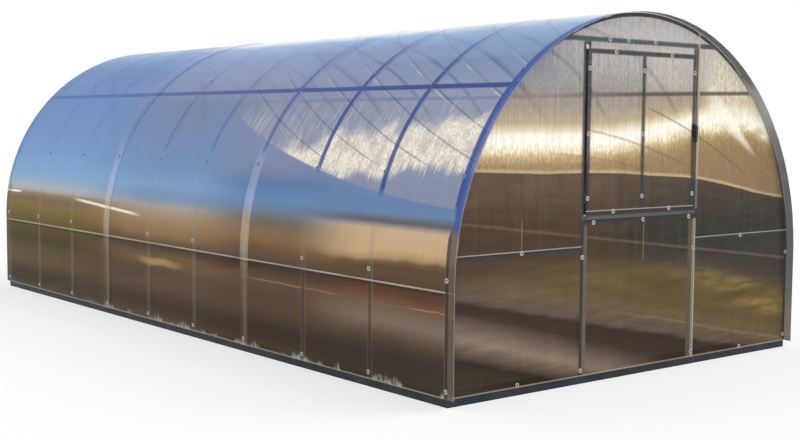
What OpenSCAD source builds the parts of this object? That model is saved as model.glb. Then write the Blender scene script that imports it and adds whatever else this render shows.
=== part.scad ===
// Arched tunnel greenhouse: ten bent square-tube arches on a low base frame,
// four rows of purlins, three lapped twin-wall cover sheets and two framed
// gables, one with a vent leaf and the other with a door.
// The origin is on the ground, at the middle of the plan. X runs across the
// house, Y along it and Z up. The vent gable faces -Y, the door gable +Y.

/* [House] */
// Width over the outer faces of the arches
house_w = 3000; // [2500:10:3600]
// Length over the two end arches
house_l = 6000; // [5000:10:7200]
// Height of the straight legs, from the ground to the spring of the curve
leg_h = 635; // [520:5:760]

/* [Frame tube] */
// Side of the square tube of the arches, purlins, posts and rails
tube = 20; // [16:1:30]
// Length over which the end of a tube is crushed flat
crush_l = 34; // [26:1:50]
// Width of the crushed and flared tab at the end of a tube
flare_w = 36; // [30:1:48]
// Thickness of a crushed tab, which is two walls of the tube
tab_t = 3; // [2:0.5:5]
// Clip taken off the corners of a tab
tab_clip = 5; // [2:0.5:8]

/* [Base frame] */
// Height of the base tube
base_h = 60; // [50:5:100]
// Width of the base tube
base_w = 40; // [30:5:60]
// Height of base tube left bare below the sheets
base_show = 44; // [20:2:48]
// Open slit at a butt joint in the base tube
joint_slit = 1.5; // [1:0.5:3]
// Length of the plate behind a butt joint
splice_l = 160; // [100:10:240]
// Thickness of the plate behind a butt joint
splice_t = 3; // [2:0.5:5]

/* [Purlins] */
// Drop of the lower purlins below the spring of the curve
low_purlin_drop = 39; // [15:1:80]
// Angle of the upper purlins above the spring, seen from the arch centre
top_purlin_angle = 45.2; // [38:0.1:55]

/* [Sheets] */
// Thickness of the twin-wall sheets
sheet_t = 4; // [4:1:8]
// Overhang of the cover past each end arch
overhang = 55; // [30:5:80]
// Lap of one cover sheet over the next
lap = 95; // [60:5:160]
// Length in which a cover sheet climbs onto the one below it
climb_l = 70; // [50:5:120]
// Play left between a sheet or a tab and what it lies on
seat = 0.3; // [0.2:0.05:0.5]

/* [Gable frames] */
// Clear width between the two posts of a gable
doorway_w = 980; // [800:10:1100]
// Length of the tie left square between a post and its crushed end
tie_past = 67; // [20:1:120]
// Height of the rails beside the posts, to their middle
mid_rail_z = 782; // [700:2:1000]
// Height of the vent sill, to its middle
sill_z = 935; // [860:5:1100]

/* [Vent and door leaves] */
// Height of the bottom rail of the vent leaf above its sill, middle to middle
leaf_rise = 47; // [40:1:60]
// Drop of the top rail of a leaf below the tie, middle to middle
leaf_drop = 67; // [50:1:90]
// How far a leaf's own sheet laps past the edge of its opening
leaf_lap = 24; // [12:1:30]
// Height of the door's foot above the base tube
door_foot = 12; // [8:1:30]
// Height of the door's cross rail, to its middle
door_rail_z = 982; // [800:10:1200]

/* [Hinges and latches] */
// Diameter of a hinge barrel
barrel_d = 9.4; // [7:0.2:14]
// Length of a hinge
hinge_l = 70; // [50:5:100]
// Height of the latch on the vent leaf, to its neck
vent_latch_z = 1452; // [1300:2:1600]
// Height of the latch on the door leaf, to its neck
door_latch_z = 1100; // [900:10:1300]
// Length of the latch handle
grip_l = 98; // [80:2:130]
// Width of the latch plate
plate_w = 28; // [22:1:36]

/* [Hidden] */
// Arches and cover sheets, counted from the vent gable
arch_count = 10;
cover_names = ["cover_front", "cover_middle", "cover_rear"];
arch_names = [for (i = [1:arch_count]) str("arch_", i < 10 ? "0" : "", i)];

steel = "#3b4252";
sheet_bronze = [0.45, 0.31, 0.18, 0.6];
gable_bronze = [0.42, 0.32, 0.2, 0.6];
latch_black = "#17181b";

$fn = 64;
// Segments of a full turn in the large curves: a vertex falls on the crown
arc_fn = 240;

outer_r = house_w / 2;
inner_r = outer_r - tube;
end_y = house_l / 2;
pitch = (house_l - tube) / (arch_count - 1);

post_in = doorway_w / 2;
post_mid = post_in + tube / 2;
post_out = post_in + tube;
// The tie is set as high as the arch leaves room for its square length and its tabs
tie_square = post_out + tie_past;
tie_z = leg_h + arch_rise(tie_square + crush_l, inner_r) - flare_w / 2;
leaf_top_z = tie_z - leaf_drop;
vent_foot_z = sill_z + leaf_rise;
// A tab reaches past the middle of the tube it lies on, and stops short of its far edge
tab_reach = tube - 3;
// Step in from the crossing tube's face at which a tab is fully flat
tab_start = 1;

// A leaf frame stands this far out of the gable, so that its sheet clears the fixed sheet
leaf_out = seat + sheet_t;
// The hinge barrels lie between a leaf and its post, and set the gap there
leaf_gap = barrel_d + 2 * seat;
leaf_half = post_in - leaf_gap;
hinge_x = post_in - leaf_gap / 2;
door_foot_z = base_h + door_foot + tube / 2;

// Cover sheets share the length over both overhangs, and lap twice
cover_end = end_y + overhang;
cover_w = (2 * cover_end + 2 * lap) / 3;
middle_end = cover_w / 2;
lap_end = middle_end - lap;
// Radius of the inner face of a cover sheet: on the frame, and on a sheet below it
cover_r = outer_r + seat;
lapped_r = cover_r + sheet_t + seat;

function arch_y(i) = -end_y + tube / 2 + i * pitch;

// Height above the spring of the arch outline of radius r at half width x
function arch_rise(x, r) = sqrt(r * r - x * x);

// Half width of the arch outline of radius r at height z
function arch_x(z, r) = z <= leg_h ? r : sqrt(r * r - (z - leg_h) * (z - leg_h));

// ---------------------------------------------------------------- shared forms

// Legs and half turn along a profile of [radius, y] points, standing from z0
module arch_form(profile, z0) {
    turned = [for (p = profile) [p[0], -p[1]]];
    union() {
        translate([0, 0, leg_h])
            rotate([90, 0, 0])
                rotate_extrude(angle = 180, $fn = arc_fn)
                    polygon(turned);
        for (side = [0, 1])
            mirror([side, 0, 0])
                translate([0, 0, z0])
                    linear_extrude(leg_h - z0)
                        polygon(profile);
    }
}

// Points of one crushed end in side view, from the outer face round to the
// inner one, for an end at x = 0. level counts the tabs already lying there.
function crushed_end(reach, level) =
    let (top = -tube - seat - level * (tab_t + seat))
    [[crush_l, 0], [tab_start, top], [-reach, top],
     [-reach, top - tab_t], [tab_start, top - tab_t], [crush_l, -tube]];

// A square cut end in side view
function cut_end() = [[0, 0], [0, -tube]];

function side_end(reach, level) = reach > 0 ? crushed_end(reach, level) : cut_end();

// The same end in plan, from the edge on +Y round to the edge on -Y
function plan_end(reach) =
    reach > 0
    ? [[crush_l, tube / 2], [tab_start, flare_w / 2], [-reach + tab_clip, flare_w / 2],
       [-reach, flare_w / 2 - tab_clip], [-reach, -flare_w / 2 + tab_clip],
       [-reach + tab_clip, -flare_w / 2], [tab_start, -flare_w / 2], [crush_l, -tube / 2]]
    : [[0, tube / 2], [0, -tube / 2]];

// The points of an end turned to the far end of a tube of length l
function far_end(points, l) = [for (i = [len(points) - 1:-1:0]) [l - points[i][0], points[i][1]]];

// A tube along +X from one crossing tube to the next. Its outer face is z = 0.
// An end with a reach is crushed flat and flared into a tab, which lies
// behind the crossing tube; an end without one is cut square.
module crushed_tube(l, reach_a, reach_b, level_a = 0, level_b = 0) {
    side = concat(side_end(reach_a, level_a), far_end(side_end(reach_b, level_b), l));
    plan = concat(plan_end(reach_a), far_end(plan_end(reach_b), l));
    depth = 3 * tube;
    intersection() {
        translate([0, 0, -depth + 1])
            linear_extrude(depth)
                polygon(plan);
        translate([0, flare_w, 0])
            rotate([90, 0, 0])
                linear_extrude(2 * flare_w)
                    polygon(side);
    }
}

// Stands a tube on the outer face of the vent gable: along +X or up
module along_gable(x, z, out = 0) {
    translate([x, -end_y - out, z])
        rotate([90, 0, 0])
            children();
}

module up_gable(x, z, out = 0) {
    translate([x, -end_y - out, z])
        rotate([0, -90, 0])
            rotate([90, 0, 0])
                children();
}

// Turns a piece made for the vent gable round to the door gable
module to_rear() {
    rotate([0, 0, 180])
        children();
}

// A plate of sheet in the gable plane, its inner face at depth out
module gable_plate(out) {
    translate([0, -end_y - out, 0])
        rotate([90, 0, 0])
            linear_extrude(sheet_t)
                children();
}

// The outline of a gable, from the foot of the sheets to the crown
module gable_outline() {
    union() {
        translate([-outer_r, base_show])
            square([house_w, leg_h - base_show]);
        intersection() {
            translate([0, leg_h])
                circle(r = outer_r, $fn = arc_fn);
            translate([-outer_r, leg_h - 1])
                square([house_w, outer_r + 2]);
        }
    }
}

// ------------------------------------------------------------------ base frame

// One side of the base: three lengths, butted at the laps of the cover and
// plated inside, with mitred ends. Made for +X.
module base_side() {
    x0 = outer_r - base_w;
    difference() {
        linear_extrude(base_h)
            polygon([[outer_r, -end_y], [outer_r, end_y], [x0, end_y - base_w], [x0, -end_y + base_w]]);
        for (s = [-1, 1])
            translate([x0 - 1, s * (middle_end - lap / 2) - joint_slit / 2, -1])
                cube([base_w + 2, joint_slit, base_h + 2]);
    }
    for (s = [-1, 1])
        translate([x0 - splice_t, s * (middle_end - lap / 2) - splice_l / 2, base_h / 6])
            cube([splice_t, splice_l, base_h * 2 / 3]);
}

// The base tube across a gable, mitred to the side tubes. Made for -Y.
module base_end() {
    y0 = -end_y;
    linear_extrude(base_h)
        polygon([[-outer_r, y0], [outer_r, y0], [outer_r - base_w, y0 + base_w], [-outer_r + base_w, y0 + base_w]]);
}

module base_left() {
    color(steel) mirror([1, 0, 0]) base_side();
}

module base_right() {
    color(steel) base_side();
}

module base_front() {
    color(steel) base_end();
}

module base_rear() {
    color(steel) to_rear() base_end();
}

// ------------------------------------------------------------ arches, purlins

module arch(i) {
    y0 = arch_y(i) - tube / 2;
    color(steel)
        arch_form([[inner_r, y0], [outer_r, y0], [outer_r, y0 + tube], [inner_r, y0 + tube]], base_h);
}

// One row of purlins, a tube in each bay. At an inner arch the far tab of one
// tube lies under the near tab of the next, so one bolt holds both.
module purlin_row(side, angle, z0) {
    for (i = [0:arch_count - 2])
        translate([0, arch_y(i) + tube / 2, z0])
            rotate([0, side * (90 - angle), 0])
                translate([0, 0, outer_r])
                    rotate([0, 0, 90])
                        crushed_tube(pitch - tube, tab_reach, tab_reach, 0, i == arch_count - 2 ? 0 : 1);
}

module purlin_lower_left() {
    color(steel) purlin_row(-1, 0, leg_h - low_purlin_drop);
}

module purlin_lower_right() {
    color(steel) purlin_row(1, 0, leg_h - low_purlin_drop);
}

module purlin_upper_left() {
    color(steel) purlin_row(-1, top_purlin_angle, leg_h);
}

module purlin_upper_right() {
    color(steel) purlin_row(1, top_purlin_angle, leg_h);
}

// ----------------------------------------------------------------- cover sheets

// Profile of an end sheet: flat on the arches, then climbing onto the middle
// sheet over the lap. s is -1 at the vent gable and 1 at the door gable.
function end_sheet_profile(s) =
    let (foot = middle_end + seat + climb_l, head = middle_end + seat)
    [[cover_r, s * cover_end], [cover_r, s * foot], [lapped_r, s * head], [lapped_r, s * lap_end],
     [lapped_r + sheet_t, s * lap_end], [lapped_r + sheet_t, s * head],
     [cover_r + sheet_t, s * foot], [cover_r + sheet_t, s * cover_end]];

module cover_front() {
    color(sheet_bronze) arch_form(end_sheet_profile(-1), base_show);
}

module cover_middle() {
    color(sheet_bronze)
        arch_form([[cover_r, -middle_end], [cover_r + sheet_t, -middle_end],
                   [cover_r + sheet_t, middle_end], [cover_r, middle_end]], base_show);
}

module cover_rear() {
    color(sheet_bronze) arch_form(end_sheet_profile(1), base_show);
}

// ----------------------------------------------------------------- gable frame

// Lengths of bottom rail on the base tube, between x positions
module bottom_rail(spans) {
    for (s = spans)
        along_gable(s[0], base_h + tube / 2)
            crushed_tube(s[1] - s[0], 0, 0);
}

// A post, standing on the base tube, its flared head behind the tie
module gable_post(side) {
    up_gable(side * post_mid, base_h)
        crushed_tube(tie_z - tube / 2 - base_h, 0, tab_reach);
}

// The tie from limb to limb of the end arch. The limbs slope there, so the
// tabs start where their upper corner clears the arch, and reach across it.
module gable_tie() {
    half = tie_square + crush_l;
    top = tie_z + flare_w / 2;
    reach = arch_x(top, outer_r) - half - tab_start;
    along_gable(-half, tie_z)
        crushed_tube(2 * half, reach, reach);
}

// A rail from the arch to the post on one side
module gable_rail(side) {
    reach_x = arch_x(mid_rail_z + flare_w / 2, inner_r);
    start = side < 0 ? -reach_x : post_out;
    along_gable(start, mid_rail_z)
        crushed_tube(reach_x - post_out, tab_reach, tab_reach);
}

module front_bottom_rail() {
    color(steel) bottom_rail([[-inner_r, -post_out], [-post_in, post_in], [post_out, inner_r]]);
}

module rear_bottom_rail() {
    color(steel) to_rear() bottom_rail([[-inner_r, -post_out], [post_out, inner_r]]);
}

module front_post_left() {
    color(steel) gable_post(-1);
}

module front_post_right() {
    color(steel) gable_post(1);
}

module rear_post_left() {
    color(steel) to_rear() gable_post(1);
}

module rear_post_right() {
    color(steel) to_rear() gable_post(-1);
}

module front_tie() {
    color(steel) gable_tie();
}

module rear_tie() {
    color(steel) to_rear() gable_tie();
}

module front_rail_left() {
    color(steel) gable_rail(-1);
}

module front_rail_right() {
    color(steel) gable_rail(1);
}

module rear_rail_left() {
    color(steel) to_rear() gable_rail(1);
}

module rear_rail_right() {
    color(steel) to_rear() gable_rail(-1);
}

module front_sill() {
    color(steel)
        along_gable(-post_in, sill_z)
            crushed_tube(doorway_w, tab_reach, tab_reach);
}

// ---------------------------------------------------------------- gable sheets

// The opening in a fixed gable sheet runs between the middles of the posts
module leaf_opening(z0, z1) {
    translate([-post_mid, z0])
        square([2 * post_mid, z1 - z0]);
}

// Edges of the openings: half way between the frame tubes and the leaf tubes
opening_top_z = tie_z - leaf_drop / 2;
vent_opening_z = sill_z + leaf_rise / 2 + 5;

module front_sheet() {
    color(gable_bronze)
        gable_plate(seat)
            difference() {
                gable_outline();
                leaf_opening(vent_opening_z, opening_top_z);
            }
}

module rear_sheet() {
    color(gable_bronze)
        to_rear()
            gable_plate(seat)
                difference() {
                    gable_outline();
                    leaf_opening(base_show - 1, opening_top_z);
                }
}

// ---------------------------------------------------------------------- leaves

// A leaf frame: a rail across at each height, and uprights between the rails.
// The uprights end in tabs behind the top and bottom rails.
module leaf_frame(z_foot, z_head, uprights) {
    for (z = [z_foot, z_head])
        along_gable(-leaf_half, z, leaf_out)
            crushed_tube(2 * leaf_half, 0, 0);
    for (x = uprights)
        up_gable(x, z_foot + tube / 2, leaf_out)
            crushed_tube(z_head - z_foot - tube, tab_reach, tab_reach);
}

stile_x = leaf_half - tube / 2;

module vent_frame() {
    color(steel) leaf_frame(vent_foot_z, leaf_top_z, [-stile_x, 0, stile_x]);
}

// The sheet of a leaf laps over the fixed sheet, except on the hinge side
module leaf_sheet(z0, z1) {
    gable_plate(leaf_out + seat)
        translate([-leaf_half, z0])
            square([leaf_half + post_mid + leaf_lap, z1 - z0]);
}

module vent_sheet() {
    color(gable_bronze) leaf_sheet(vent_opening_z - leaf_lap, opening_top_z + leaf_lap);
}

module door_frame() {
    color(steel)
        to_rear() {
            leaf_frame(door_foot_z, leaf_top_z, [-stile_x, stile_x]);
            along_gable(-stile_x + tube / 2, door_rail_z, leaf_out)
                crushed_tube(2 * stile_x - tube, tab_reach, tab_reach);
        }
}

module door_sheet() {
    color(gable_bronze) to_rear() leaf_sheet(base_show, opening_top_z + leaf_lap);
}

// A welded barrel hinge between post and leaf: two knuckles on a pin
module barrel_hinge(z) {
    knuckle = (hinge_l - joint_slit) / 2;
    translate([-hinge_x, -end_y, z - hinge_l / 2]) {
        for (z1 = [0, knuckle + joint_slit])
            translate([0, 0, z1])
                cylinder(h = knuckle, d = barrel_d);
        translate([0, 0, -2])
            cylinder(h = hinge_l + 4, d = barrel_d / 2);
    }
}

// Hinges sit this far from the ends of a leaf
hinge_inset = 90;

module vent_hinges() {
    color(steel)
        for (z = [vent_foot_z + hinge_inset, leaf_top_z - hinge_inset])
            barrel_hinge(z);
}

module door_hinges() {
    color(steel)
        to_rear()
            for (z = [door_foot_z + hinge_inset, (door_foot_z + leaf_top_z) / 2, leaf_top_z - hinge_inset])
                barrel_hinge(z);
}

// A lever latch on the opening edge of a leaf: a tall rounded plate, a neck
// and a handle that hangs down from it.
plate_h = 84;
plate_t = 8;
neck_d = 16;
neck_l = 20;
grip_t = 10;
grip_w = 18;

module latch(z) {
    face = leaf_out + seat + sheet_t + seat;
    translate([stile_x, -end_y - face, z])
        rotate([90, 0, 0])
            union() {
                linear_extrude(plate_t)
                    union() {
                        translate([-plate_w / 2, -plate_h / 2 + plate_w / 2])
                            square([plate_w, plate_h - plate_w]);
                        for (s = [-1, 1])
                            translate([0, s * (plate_h - plate_w) / 2])
                                circle(d = plate_w);
                    }
                translate([0, plate_h / 4, plate_t])
                    cylinder(h = neck_l, d = neck_d);
                translate([-grip_w / 2, plate_h / 4, 0])
                    rotate([0, 90, 0])
                        linear_extrude(grip_w)
                            polygon(grip_side());
            }
}

// Side view of the handle: [-depth, height] points, from the neck down
function grip_side() =
    let (d0 = plate_t + neck_l - grip_t, d1 = plate_t + neck_l)
    [[-d0, neck_d / 2], [-d1 + 3, neck_d / 2], [-d1, neck_d / 2 - 3],
     [-d1, -grip_l / 2], [-d1 + 5, -grip_l + 4], [-d1 + 8, -grip_l], [-d0 + 5, -grip_l],
     [-d0 + 2, -grip_l / 2], [-d0, -neck_d / 2]];

module vent_latch() {
    color(latch_black) latch(vent_latch_z);
}

module door_latch() {
    color(latch_black) to_rear() latch(door_latch_z);
}

// ------------------------------------------------------------------------ parts

base_left();
base_right();
base_front();
base_rear();
for (i = [0:arch_count - 1]) arch(i);
purlin_lower_left();
purlin_lower_right();
purlin_upper_left();
purlin_upper_right();
cover_front();
cover_middle();
cover_rear();
front_bottom_rail();
front_post_left();
front_post_right();
front_tie();
front_rail_left();
front_rail_right();
front_sill();
front_sheet();
vent_frame();
vent_sheet();
vent_hinges();
vent_latch();
rear_bottom_rail();
rear_post_left();
rear_post_right();
rear_tie();
rear_rail_left();
rear_rail_right();
rear_sheet();
door_frame();
door_sheet();
door_hinges();
door_latch();
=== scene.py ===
# %% [markdown]
# # An arched greenhouse and its finishes
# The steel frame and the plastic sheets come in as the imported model, which is already the right size.
# This lesson gives them their finishes and adds the small things that a builder screws on last.
# Everything is in metres, with X to the right, Y to the back and Z up.

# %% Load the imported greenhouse
import math

import bmesh
import bpy
from mathutils import Matrix, Vector


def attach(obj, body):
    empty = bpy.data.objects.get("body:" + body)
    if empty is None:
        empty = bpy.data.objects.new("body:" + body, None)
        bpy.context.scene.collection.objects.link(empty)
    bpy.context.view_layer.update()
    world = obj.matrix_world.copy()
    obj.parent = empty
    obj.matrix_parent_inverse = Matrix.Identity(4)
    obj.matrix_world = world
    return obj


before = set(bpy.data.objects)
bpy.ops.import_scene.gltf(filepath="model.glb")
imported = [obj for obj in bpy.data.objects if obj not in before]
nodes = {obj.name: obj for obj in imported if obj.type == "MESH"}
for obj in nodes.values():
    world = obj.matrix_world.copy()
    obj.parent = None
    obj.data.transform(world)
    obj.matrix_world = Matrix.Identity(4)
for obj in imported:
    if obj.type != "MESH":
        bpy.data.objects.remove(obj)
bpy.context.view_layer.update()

print("pieces in the frame:", len(nodes))

# %% [markdown]
# The greenhouse is seen from in front of its left corner, a little below the height of a person's eyes.
# The camera is set by its place, its heading, tilt and roll, and the length of its lens.

# %% Camera
CAMERA_AT = Vector((-5.6512, -7.7457, 1.4812))
HEADING, TILT, ROLL = (math.radians(a) for a in (38.865, -4.502, 0.403))
LENS = 55.14

forward = Vector((math.sin(HEADING) * math.cos(TILT), math.cos(HEADING) * math.cos(TILT), math.sin(TILT)))
right = Vector((math.cos(HEADING), -math.sin(HEADING), 0))
up = right.cross(forward)
right, up = (math.cos(ROLL) * right + math.sin(ROLL) * up, math.cos(ROLL) * up - math.sin(ROLL) * right)

camera_data = bpy.data.cameras.new("camera")
camera_data.lens = LENS
camera_data.sensor_width = 36
camera_data.clip_end = 200
camera = bpy.data.objects.new("camera", camera_data)
camera.matrix_world = Matrix((right, up, -forward)).transposed().to_4x4()
camera.location = CAMERA_AT
bpy.context.scene.collection.objects.link(camera)
bpy.context.scene.camera = camera
bpy.context.scene.view_settings.view_transform = "Standard"
print("lens", LENS, "mm at", [round(v, 2) for v in CAMERA_AT])

# %% [markdown]
# A material is a tree of nodes.
# These short helpers add one node each, take numbers or other nodes' outputs, and give back the output.

# %% Helpers for numbers
def feed(tree, socket, value):
    """Links an output to a socket, or writes a plain value on it."""
    if isinstance(value, bpy.types.NodeSocket):
        tree.links.new(value, socket)
    else:
        socket.default_value = value


def calc(tree, operation, *values):
    """A Math node."""
    n = tree.nodes.new("ShaderNodeMath")
    n.operation = operation
    for socket, value in zip(n.inputs, values):
        feed(tree, socket, value)
    return n.outputs[0]


def fade(tree, value, low, high, out_low=0.0, out_high=1.0):
    """Goes smoothly from one number to another as value goes from low to high."""
    n = tree.nodes.new("ShaderNodeMapRange")
    n.interpolation_type = "SMOOTHSTEP"
    for socket, v in zip(n.inputs, (value, low, high, out_low, out_high)):
        feed(tree, socket, v)
    return n.outputs[0]


def noise(tree, at, scale=1.0, detail=3.0, roughness=0.55):
    """A cloud pattern, from 0 to 1."""
    n = tree.nodes.new("ShaderNodeTexNoise")
    feed(tree, n.inputs["Vector"], at)
    feed(tree, n.inputs["Scale"], scale)
    feed(tree, n.inputs["Detail"], detail)
    feed(tree, n.inputs["Roughness"], roughness)
    return n.outputs[0]


print("numbers: feed, calc, fade and noise are ready")

# %% Helpers for colours and places
def rgb(code):
    """The linear colour of a web code such as 8a6f50."""
    parts = [int(code[i : i + 2], 16) / 255 for i in (0, 2, 4)]
    return (*(c / 12.92 if c <= 0.04045 else ((c + 0.055) / 1.055) ** 2.4 for c in parts), 1.0)


def mixed(tree, share, a, b):
    """Colour a where share is 0 and colour b where it is 1."""
    n = tree.nodes.new("ShaderNodeMix")
    n.data_type = "RGBA"
    feed(tree, n.inputs[0], share)
    feed(tree, n.inputs[6], a)
    feed(tree, n.inputs[7], b)
    return n.outputs[2]


def ramp(tree, value, stops, low=0.0, high=1.0):
    """A colour ramp over value from low to high. stops are pairs of a place and a web colour code."""
    n = tree.nodes.new("ShaderNodeValToRGB")
    share = tree.nodes.new("ShaderNodeMapRange")
    for socket, v in zip(share.inputs, (value, low, high)):
        feed(tree, socket, v)
    tree.links.new(share.outputs[0], n.inputs[0])
    for i, (place, code) in enumerate(stops):
        at = (place - low) / (high - low)
        stop = n.color_ramp.elements[i] if i < 2 else n.color_ramp.elements.new(at)
        stop.position = at
        stop.color = rgb(code)
    return n.outputs[0]


def vector(tree, x, y, z):
    """Three numbers as one vector."""
    n = tree.nodes.new("ShaderNodeCombineXYZ")
    for socket, v in zip(n.inputs, (x, y, z)):
        feed(tree, socket, v)
    return n.outputs[0]


def place(tree):
    """Where a point is on the greenhouse: x, y and z in metres."""
    coordinates = tree.nodes.new("ShaderNodeTexCoord")
    split = tree.nodes.new("ShaderNodeSeparateXYZ")
    tree.links.new(coordinates.outputs["Object"], split.inputs[0])
    return split.outputs


print("the web colour 808080 is", round(rgb("808080")[0], 3), "as a linear value")

# %% Helpers for whole materials
def new_material(name):
    """A material with its node tree and its Principled shader."""
    material = bpy.data.materials.new(name)
    material.use_nodes = True
    return material, material.node_tree, material.node_tree.nodes["Principled BSDF"]


def dress(node_names, material):
    """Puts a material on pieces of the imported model."""
    for name in node_names:
        piece = nodes[name]
        if not piece.material_slots:
            piece.data.materials.append(material)
        for slot in piece.material_slots:
            slot.material = material
    print(material.name, "on", len(node_names), "pieces")


def seen_by_eye(tree):
    """1 for what the camera sees, also in a mirror or through glass, and 0 for the light on things."""
    rays = tree.nodes.new("ShaderNodeLightPath").outputs
    mirrored = calc(tree, "MAXIMUM", rays["Is Glossy Ray"], rays["Is Transmission Ray"])
    return calc(tree, "MAXIMUM", rays["Is Camera Ray"], mirrored)


print("pieces to dress:", len(nodes))

# %% [markdown]
# The studio is a plain white floor under an even white sky.
# One wide soft lamp from the front right lays a pale shadow on the floor, behind the house and to its left.
# The floor is more than half plain white to the eye.
# So the shadow on it stays as light as on a bright overcast day.

# %% Studio
SKY = 0.9
LAMP = 0.85
PLAIN_WHITE = 0.6
FLOOR_SIZE = 160

world = bpy.data.worlds.new("studio")
bpy.context.scene.world = world
world.use_nodes = True
background = world.node_tree.nodes["Background"]
brighter = calc(world.node_tree, "MULTIPLY", seen_by_eye(world.node_tree), 1 - SKY)
feed(world.node_tree, background.inputs["Strength"], calc(world.node_tree, "ADD", brighter, SKY))
background.inputs["Color"].default_value = (1, 1, 1, 1)

lamp_data = bpy.data.lights.new("soft_lamp", "SUN")
lamp_data.energy = LAMP
lamp_data.angle = math.radians(35)
lamp = bpy.data.objects.new("soft_lamp", lamp_data)
lamp.rotation_euler = Vector((0.72, -0.36, 0.95)).to_track_quat("Z", "Y").to_euler()
bpy.context.scene.collection.objects.link(lamp)

bpy.ops.mesh.primitive_plane_add(size=FLOOR_SIZE, location=(0, 0, 0))
floor = bpy.context.object
floor.name = "floor"
floor_material, tree, shader = new_material("white_floor")
shader.inputs["Base Color"].default_value = (0.93, 0.93, 0.93, 1)
shader.inputs["Roughness"].default_value = 1
shader.inputs["Specular IOR Level"].default_value = 0
plain_white = tree.nodes.new("ShaderNodeEmission")
blend = tree.nodes.new("ShaderNodeMixShader")
feed(tree, blend.inputs[0], calc(tree, "MULTIPLY", seen_by_eye(tree), PLAIN_WHITE))
feed(tree, blend.inputs[1], shader.outputs[0])
feed(tree, blend.inputs[2], plain_white.outputs[0])
feed(tree, tree.nodes["Material Output"].inputs["Surface"], blend.outputs[0])
floor.data.materials.append(floor_material)
print("floor", floor.dimensions[0], "m across")

# %% [markdown]
# Steel is dull where rain has left dust on it, and the dust lies on faces that look up.
# Both the tubes and the base get it, so it is made once, as a group of nodes that any material can hold.
# The sheets share three groups: streaks along their flutes, which face of a sheet is looked at,
# and a colour set so that the sheet looks as wanted over a bright background.

# %% Helpers for node groups
def new_group(name, inputs, outputs):
    """An empty node group with named inputs and outputs, and its two end nodes."""
    group = bpy.data.node_groups.new(name, "ShaderNodeTree")
    for label, kind in inputs:
        group.interface.new_socket(label, in_out="INPUT", socket_type="NodeSocket" + kind)
    for label, kind in outputs:
        group.interface.new_socket(label, in_out="OUTPUT", socket_type="NodeSocket" + kind)
    return group, group.nodes.new("NodeGroupInput").outputs, group.nodes.new("NodeGroupOutput").inputs


def use_group(tree, group, *values):
    """Places a group in a material and gives back its outputs."""
    n = tree.nodes.new("ShaderNodeGroup")
    n.node_tree = group
    for socket, value in zip(n.inputs, values):
        feed(tree, socket, value)
    return n.outputs


def looks(tree):
    """Which way a face points, turned to the side it is seen from, and 1 where that is its back."""
    n = tree.nodes.new("ShaderNodeNewGeometry")
    return n.outputs["Normal"], n.outputs["Backfacing"]


def scaled(tree, value, by):
    """A colour or vector times a number."""
    n = tree.nodes.new("ShaderNodeVectorMath")
    n.operation = "SCALE"
    feed(tree, n.inputs[0], value)
    feed(tree, n.inputs["Scale"], by)
    return n.outputs[0]


def vector_calc(tree, operation, a, b):
    """A Vector Math node on two values."""
    n = tree.nodes.new("ShaderNodeVectorMath")
    n.operation = operation
    feed(tree, n.inputs[0], a)
    feed(tree, n.inputs[1], b)
    return n.outputs[1] if operation == "DOT_PRODUCT" else n.outputs[0]


print("groups: new_group and use_group are ready")

# %% Dust and flute streaks
dust, gin, gout = new_group("dust", [("Patch size", "Float")], [("Dust", "Float"), ("Grain", "Float")])
here = vector(dust, *place(dust))
facing_up = dust.nodes.new("ShaderNodeSeparateXYZ")
feed(dust, facing_up.inputs[0], looks(dust)[0])
patches = noise(dust, here, calc(dust, "DIVIDE", 1.0, gin[0]), 4.0)
feed(dust, gout[0], calc(dust, "MULTIPLY", fade(dust, facing_up.outputs[2], 0.55, 0.95),
                         fade(dust, patches, 0.2, 0.6, 0.55, 1.0)))
feed(dust, gout[1], noise(dust, here, 260.0, 2.0))

streaks, gin, gout = new_group("flute_streaks", [("Across", "Float"), ("Along", "Float")],
                               [("Fine", "Float"), ("Broad", "Float")])
for out, (across, along, offset, detail) in zip(gout, ((120.0, 4.0, 1.7, 3.0), (17.0, 1.3, 4.1, 2.0))):
    at = vector(streaks, calc(streaks, "MULTIPLY", gin[0], across),
                calc(streaks, "MULTIPLY", gin[1], along), offset)
    feed(streaks, out, noise(streaks, at, 1.0, detail, 0.6))
print("groups so far:", [g.name for g in bpy.data.node_groups])

# %% The side of a sheet, and a colour over light
sheet_side, gin, gout = new_group("sheet_side", [("Outward", "Vector"), ("Behind", "Float")],
                                  [("Outer face", "Float"), ("From outside", "Float")])
towards = vector_calc(sheet_side, "DOT_PRODUCT", looks(sheet_side)[0], gin[0])
outside = calc(sheet_side, "GREATER_THAN", towards, 0.0)
feed(sheet_side, gout[1], outside)
feed(sheet_side, gout[0], calc(sheet_side, "ABSOLUTE", calc(sheet_side, "SUBTRACT", outside, gin[1])))

over_light, gin, gout = new_group("colour_over_light",
                                  [("Look", "Color"), ("Solid", "Float"), ("Light behind", "Float")],
                                  [("Colour", "Color")])
through = calc(over_light, "MULTIPLY", calc(over_light, "SUBTRACT", 1.0, gin[1]), gin[2])
less = vector_calc(over_light, "SUBTRACT", gin[0], vector(over_light, through, through, through))
floor_colour = vector_calc(over_light, "MAXIMUM", less, scaled(over_light, gin[0], 0.06))
feed(over_light, gout[0], scaled(over_light, floor_colour, calc(over_light, "DIVIDE", 1.0, gin[1])))
print("groups:", [g.name for g in bpy.data.node_groups])

# %% [markdown]
# The tubes are square steel, painted a very dark blue.
# Dust lies along their tops, which shows as a thin pale line, and the paint is a little uneven.

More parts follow.
